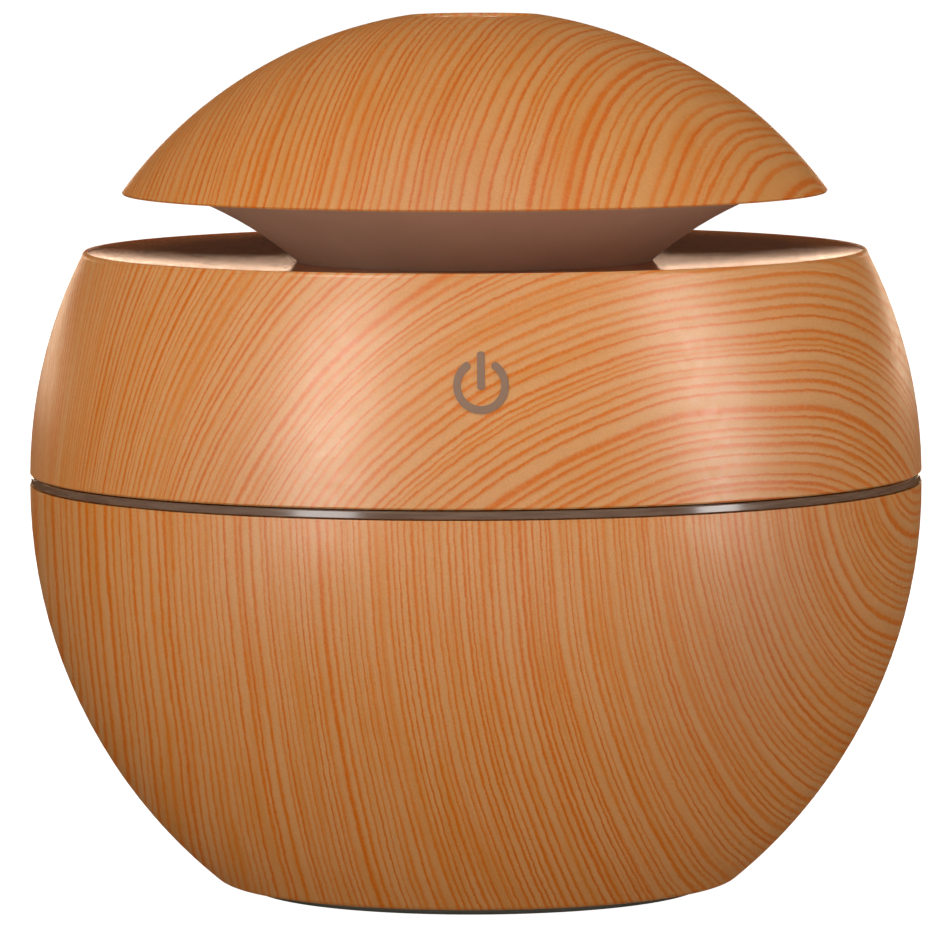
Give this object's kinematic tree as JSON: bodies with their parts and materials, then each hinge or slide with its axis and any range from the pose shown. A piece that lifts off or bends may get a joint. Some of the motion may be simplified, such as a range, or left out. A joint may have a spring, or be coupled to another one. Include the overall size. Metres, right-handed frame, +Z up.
{
  "type": "essential oil diffuser",
  "caption": "Ball-shaped USB desk diffuser with a wood-grain bowl and head, a light ring at the seam, a mushroom cap on a flared neck and a cotton wick.",
  "frame": {"origin": "middle of the foot pad's underside, on the surface that the diffuser stands on", "axes": "+Z up along the axis of bowl, neck and cap; the touch mark faces -Y and the power socket +Y"},
  "size_m": [0.1006, 0.1006, 0.0985],
  "materials": {
    "printed_wood": "satin printed wood grain",
    "tank_white": "satin moulded",
    "foot_rubber": "matt",
    "seal_silicone": "matt translucent",
    "base_white": "satin moulded",
    "light_guide": "clear, gloss",
    "deck_paint": "metallic flake paint, gloss",
    "neck_frost": "frosted",
    "cap_cream": "satin moulded",
    "tube_white": "satin moulded",
    "gasket_silicone": "matt",
    "disc_metal": "etched plate",
    "disc_ceramic": "fired ceramic",
    "spring_steel": "drawn wire",
    "wick_cotton": "pressed cotton",
    "board_green": "solder mask",
    "ferrite": "ferrite and copper winding",
    "can_aluminium": "printed sleeve",
    "chip_black": "moulded",
    "lamp_clear": "clear epoxy on white",
    "pad_copper": "copper foil",
    "socket_metal": "plated sheet",
    "socket_black": "moulded",
    "mark_print": "printed ink",
    "screw_steel": "zinc plated",
    "lead_red": "silicone insulation",
    "lead_white": "silicone insulation"
  },
  "bodies": {
    "bowl": {"foot_pad": "foot_rubber", "bowl_shell": "printed_wood", "tank_liner": "tank_white"},
    "seal": {"tank_seal": "seal_silicone"},
    "head": {"head_base": "base_white", "light_ring": "light_guide", "upper_shell": "printed_wood", "top_deck": "deck_paint", "mist_flare": "neck_frost", "cap_base": "cap_cream", "dome_cap": "printed_wood", "mist_tube": "tube_white", "disc_retainer": "base_white", "disc_gasket": "gasket_silicone", "mesh_plate": "disc_metal", "piezo_ring": "disc_ceramic", "wick_tube": "tube_white", "wick_tube_cap": "tube_white", "wick_spring": "spring_steel", "main_board": "board_green", "inductor": "ferrite", "capacitor": "can_aluminium", "board_chips": "chip_black", "lamp_board": "board_green", "lamps": "lamp_clear", "touch_pad": "pad_copper", "power_socket": "socket_metal", "socket_tongue": "socket_black", "power_icon": "mark_print", "chassis_screws": "screw_steel", "board_screws": "screw_steel", "cap_screws": "screw_steel", "disc_leads": "lead_red", "touch_lead": "lead_white", "lamp_leads": "lead_red"},
    "wick": {"cotton_wick": "wick_cotton"}
  },
  "joints": [
    {"name": "head_lift", "type": "slide", "parent": "bowl", "child": "seal", "axis": [0, 0, 1], "range_m": [0, 0.06]},
    {"name": "head_twist", "type": "hinge", "parent": "seal", "child": "head", "pos_m": [0, 0, 0.047], "axis": [0, 0, 1], "range_deg": [-30, 0]},
    {"name": "wick_press", "type": "slide", "parent": "head", "child": "wick", "axis": [0, 0, -1], "range_m": [0, 0.003], "stiffness_N_per_m": 120, "springref_m": -0.0015, "deforming": ["wick_spring"]}
  ]
}
